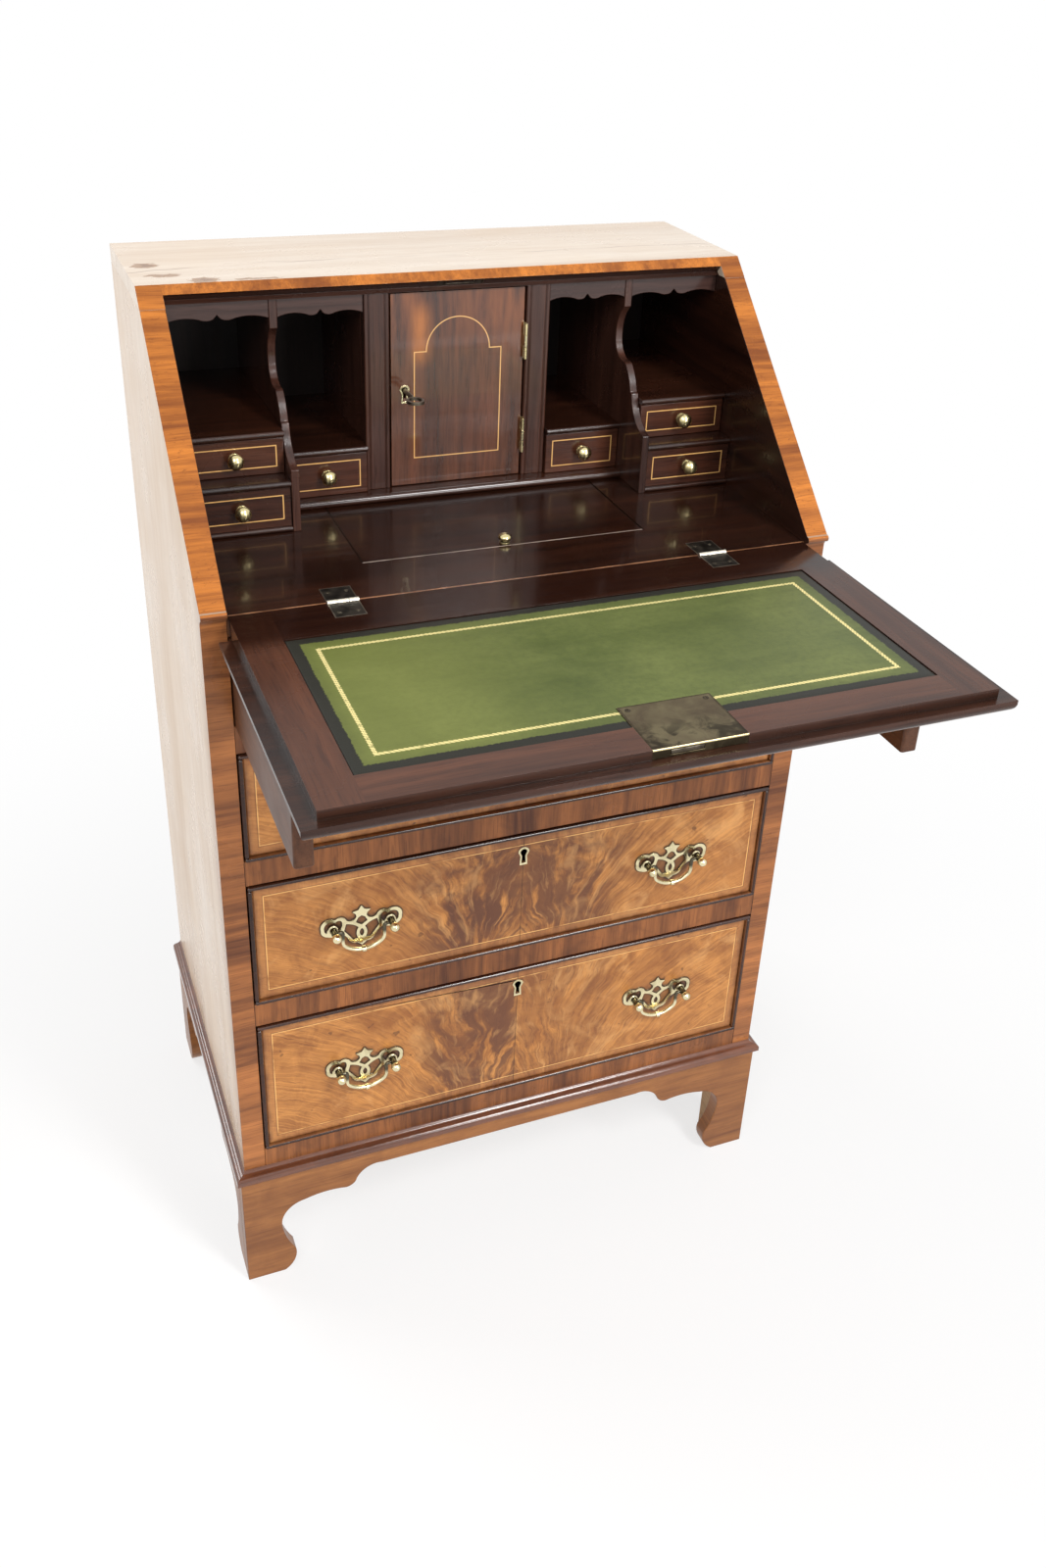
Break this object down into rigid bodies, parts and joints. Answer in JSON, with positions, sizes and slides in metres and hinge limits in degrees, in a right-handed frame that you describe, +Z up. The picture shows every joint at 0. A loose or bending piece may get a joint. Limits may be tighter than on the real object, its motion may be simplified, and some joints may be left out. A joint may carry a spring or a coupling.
{
  "type": "escritoire",
  "caption": "Slope-front escritoire on bracket feet: the fall opens onto lopers over a gallery of pigeonholes, small drawers and a cupboard, with a well and long drawers under it.",
  "frame": {"origin": "on the floor under the middle of the open desk, halfway between its back and the front edge of its fall", "axes": "+X to the right of someone facing the desk, +Y from the front to the back, +Z up"},
  "size_m": [0.578, 0.6584, 0.957],
  "materials": {
    "walnut": "polished veneer",
    "mahogany": "polished",
    "secondary_wood": "plain",
    "leather": "worn skiver with gold tooling",
    "steel": "dulled",
    "brass": "polished, worn"
  },
  "bodies": {
    "carcass": {"side_left": "walnut", "side_right": "walnut", "top_board": "walnut", "back_boards": "secondary_wood", "bottom_board": "secondary_wood", "writing_bed": "mahogany", "front_rails": "walnut", "carcass_framing": "secondary_wood", "well_box": "secondary_wood", "base_moulding": "walnut", "bracket_plinth": "walnut", "foot_blocks": "secondary_wood", "gallery_base": "mahogany", "gallery_uprights": "mahogany", "pilasters": "mahogany", "gallery_shelves": "mahogany", "valances": "mahogany", "fixed_hinge_leaves": "brass", "fall_strike_plate": "brass"},
    "fall": {"fall_panel": "mahogany", "fall_leather": "leather", "fall_lock": "brass", "fall_hinge_leaves": "brass"},
    "fall_bolt": {"fall_lock_bolt": "steel"},
    "loper_left": {"loper_left": "walnut"},
    "loper_right": {"loper_right": "walnut"},
    "well_cover": {"well_cover": "mahogany", "well_cover_knob": "brass"},
    "prospect_door": {"prospect_door": "mahogany", "door_lock": "brass", "door_hinge_leaves": "brass"},
    "door_bolt": {"door_lock_bolt": "steel"},
    "door_key": {"door_key": "steel"},
    "drawer_one": {"drawer_one_front": "walnut", "drawer_one_box": "secondary_wood", "drawer_one_brasses": "brass"},
    "drawer_one_bail_left": {"drawer_one_bail_left": "brass"},
    "drawer_one_bail_right": {"drawer_one_bail_right": "brass"},
    "drawer_two": {"drawer_two_front": "walnut", "drawer_two_box": "secondary_wood", "drawer_two_brasses": "brass"},
    "drawer_two_bail_left": {"drawer_two_bail_left": "brass"},
    "drawer_two_bail_right": {"drawer_two_bail_right": "brass"},
    "drawer_three": {"drawer_three_front": "walnut", "drawer_three_box": "secondary_wood", "drawer_three_brasses": "brass"},
    "drawer_three_bail_left": {"drawer_three_bail_left": "brass"},
    "drawer_three_bail_right": {"drawer_three_bail_right": "brass"},
    "small_drawer_left_lower": {"small_drawer_left_lower": "mahogany", "small_knob_left_lower": "brass"},
    "small_drawer_left_upper": {"small_drawer_left_upper": "mahogany", "small_knob_left_upper": "brass"},
    "small_drawer_left_single": {"small_drawer_left_single": "mahogany", "small_knob_left_single": "brass"},
    "small_drawer_right_lower": {"small_drawer_right_lower": "mahogany", "small_knob_right_lower": "brass"},
    "small_drawer_right_upper": {"small_drawer_right_upper": "mahogany", "small_knob_right_upper": "brass"},
    "small_drawer_right_single": {"small_drawer_right_single": "mahogany", "small_knob_right_single": "brass"}
  },
  "joints": [
    {"name": "fall_hinge", "type": "hinge", "parent": "carcass", "child": "fall", "pos_m": [0, -0.03932, 0.752], "axis": [1, 0, 0], "range_deg": [-137, 0]},
    {"name": "fall_bolt_slide", "type": "slide", "parent": "fall", "child": "fall_bolt", "axis": [0, -1, 0], "range_m": [0, 0.006]},
    {"name": "loper_left_slide", "type": "slide", "parent": "carcass", "child": "loper_left", "axis": [0, -1, 0], "range_m": [-0.203, 0]},
    {"name": "loper_right_slide", "type": "slide", "parent": "carcass", "child": "loper_right", "axis": [0, -1, 0], "range_m": [-0.203, 0]},
    {"name": "well_cover_slide", "type": "slide", "parent": "carcass", "child": "well_cover", "axis": [0, 1, 0], "range_m": [0, 0.105]},
    {"name": "door_hinge", "type": "hinge", "parent": "carcass", "child": "prospect_door", "pos_m": [0.06415, 0.16406, 0.85], "axis": [0, 0, 1], "range_deg": [0, 95]},
    {"name": "door_key_turn", "type": "hinge", "parent": "prospect_door", "child": "door_key", "pos_m": [-0.0508, 0.16816, 0.852], "axis": [0, 1, 0], "range_deg": [0, 180]},
    {"name": "door_bolt_slide", "type": "slide", "parent": "prospect_door", "child": "door_bolt", "axis": [-1, 0, 0], "range_m": [0, 0.005]},
    {"name": "drawer_one_slide", "type": "slide", "parent": "carcass", "child": "drawer_one", "axis": [0, -1, 0], "range_m": [0, 0.25]},
    {"name": "drawer_one_bail_left_swing", "type": "hinge", "parent": "drawer_one", "child": "drawer_one_bail_left", "pos_m": [-0.157, -0.04752, 0.5735], "axis": [-1, 0, 0], "range_deg": [0, 80]},
    {"name": "drawer_one_bail_right_swing", "type": "hinge", "parent": "drawer_one", "child": "drawer_one_bail_right", "pos_m": [0.157, -0.04752, 0.5735], "axis": [-1, 0, 0], "range_deg": [0, 80]},
    {"name": "drawer_two_slide", "type": "slide", "parent": "carcass", "child": "drawer_two", "axis": [0, -1, 0], "range_m": [0, 0.25]},
    {"name": "drawer_two_bail_left_swing", "type": "hinge", "parent": "drawer_two", "child": "drawer_two_bail_left", "pos_m": [-0.157, -0.04752, 0.426], "axis": [-1, 0, 0], "range_deg": [0, 80]},
    {"name": "drawer_two_bail_right_swing", "type": "hinge", "parent": "drawer_two", "child": "drawer_two_bail_right", "pos_m": [0.157, -0.04752, 0.426], "axis": [-1, 0, 0], "range_deg": [0, 80]},
    {"name": "drawer_three_slide", "type": "slide", "parent": "carcass", "child": "drawer_three", "axis": [0, -1, 0], "range_m": [0, 0.25]},
    {"name": "drawer_three_bail_left_swing", "type": "hinge", "parent": "drawer_three", "child": "drawer_three_bail_left", "pos_m": [-0.157, -0.04752, 0.25425], "axis": [-1, 0, 0], "range_deg": [0, 80]},
    {"name": "drawer_three_bail_right_swing", "type": "hinge", "parent": "drawer_three", "child": "drawer_three_bail_right", "pos_m": [0.157, -0.04752, 0.25425], "axis": [-1, 0, 0], "range_deg": [0, 80]},
    {"name": "small_drawer_left_lower_slide", "type": "slide", "parent": "carcass", "child": "small_drawer_left_lower", "axis": [0, -1, 0], "range_m": [0, 0.12]},
    {"name": "small_drawer_left_upper_slide", "type": "slide", "parent": "carcass", "child": "small_drawer_left_upper", "axis": [0, -1, 0], "range_m": [0, 0.11]},
    {"name": "small_drawer_left_single_slide", "type": "slide", "parent": "carcass", "child": "small_drawer_left_single", "axis": [0, -1, 0], "range_m": [0, 0.09]},
    {"name": "small_drawer_right_lower_slide", "type": "slide", "parent": "carcass", "child": "small_drawer_right_lower", "axis": [0, -1, 0], "range_m": [0, 0.12]},
    {"name": "small_drawer_right_upper_slide", "type": "slide", "parent": "carcass", "child": "small_drawer_right_upper", "axis": [0, -1, 0], "range_m": [0, 0.11]},
    {"name": "small_drawer_right_single_slide", "type": "slide", "parent": "carcass", "child": "small_drawer_right_single", "axis": [0, -1, 0], "range_m": [0, 0.09]}
  ],
  "couplings": [
    {"joint": "door_bolt_slide", "follows": "door_key_turn", "m_per_rad": 0.00159}
  ]
}
